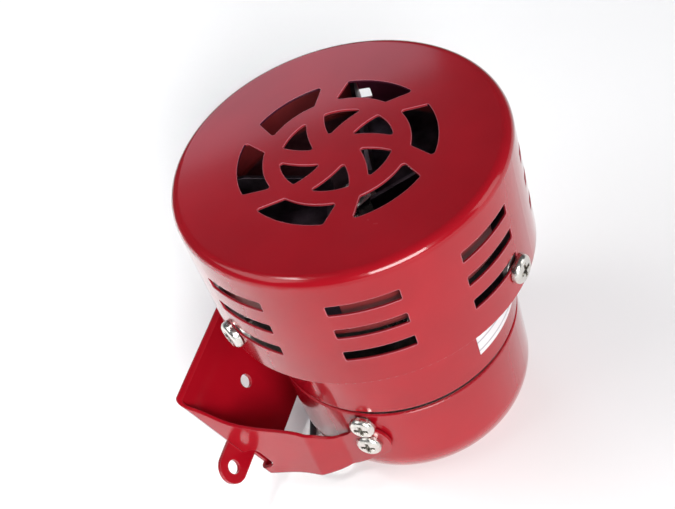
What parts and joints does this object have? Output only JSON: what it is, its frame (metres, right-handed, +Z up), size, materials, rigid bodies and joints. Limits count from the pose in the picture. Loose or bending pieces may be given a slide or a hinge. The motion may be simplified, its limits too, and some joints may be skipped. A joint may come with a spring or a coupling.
{
  "type": "motor siren",
  "caption": "Small red motor siren: a slotted sound head over a round motor housing and rear cup, in a tilting U-bracket with mounting ears.",
  "frame": {"origin": "centre of the rear cup's flat bottom, which the siren stands on", "axes": "+Z up along the motor's shaft to the sound head; the bracket tilts about an axis along Y, 20.7 mm up; the bracket's web is towards -X"},
  "size_m": [0.1086, 0.1376, 0.0895],
  "materials": {
    "red_paint": "gloss red enamel on drawn steel",
    "rotor_metal": "thin red coat over steel sheet",
    "zinc_plate": "zinc-plated steel sheet",
    "screw_nickel": "bright nickel plate",
    "motor_steel": "plated steel can",
    "end_cap_nylon": "moulded nylon",
    "bearing_bronze": "sintered bronze",
    "magnet_ferrite": "ground ferrite",
    "core_steel": "laminated electrical steel",
    "winding_copper": "enamelled copper wire",
    "commutator_copper": "turned copper bars",
    "brush_carbon": "pressed carbon",
    "holder_brass": "stamped brass",
    "spring_steel": "spring wire",
    "shaft_steel": "ground steel",
    "sticker_white": "blank white film",
    "grommet_rubber": "black rubber",
    "lead_pvc": "black flexible PVC",
    "tinned_wire": "tinned strands"
  },
  "bodies": {
    "housing": {"top_cap": "red_paint", "deck_pan": "zinc_plate", "middle_housing": "red_paint", "deck_screws": "screw_nickel", "rear_cup": "red_paint", "inner_frame": "zinc_plate", "cap_screws": "screw_nickel", "lock_screws": "screw_nickel", "pivot_screws": "screw_nickel", "pivot_nuts": "screw_nickel", "motor_can": "motor_steel", "motor_end_cap": "end_cap_nylon", "upper_bearing": "bearing_bronze", "lower_bearing": "bearing_bronze", "magnets": "magnet_ferrite", "motor_screws": "screw_nickel", "brushes": "brush_carbon", "brush_holders": "holder_brass", "brush_springs": "spring_steel", "rating_sticker": "sticker_white", "lead_grommet": "grommet_rubber", "lead": "lead_pvc", "lead_ends": "tinned_wire"},
    "bracket": {"bracket": "red_paint"},
    "rotor": {"motor_shaft": "shaft_steel", "armature_core": "core_steel", "armature_coils": "winding_copper", "commutator": "commutator_copper", "rotor_hub": "shaft_steel", "rotor_floor": "rotor_metal", "rotor_blade_1": "rotor_metal", "rotor_blade_2": "rotor_metal", "rotor_blade_3": "rotor_metal", "rotor_blade_4": "rotor_metal", "rotor_washer": "screw_nickel", "rotor_nut": "screw_nickel"}
  },
  "joints": [
    {"name": "bracket_tilt", "type": "hinge", "parent": "housing", "child": "bracket", "pos_m": [0, 0, 0.0207], "axis": [0, 1, 0], "range_deg": [-6, 24]},
    {"name": "rotor_spin", "type": "hinge", "parent": "housing", "child": "rotor", "pos_m": [0, 0, 0], "axis": [0, 0, 1], "continuous": true}
  ]
}
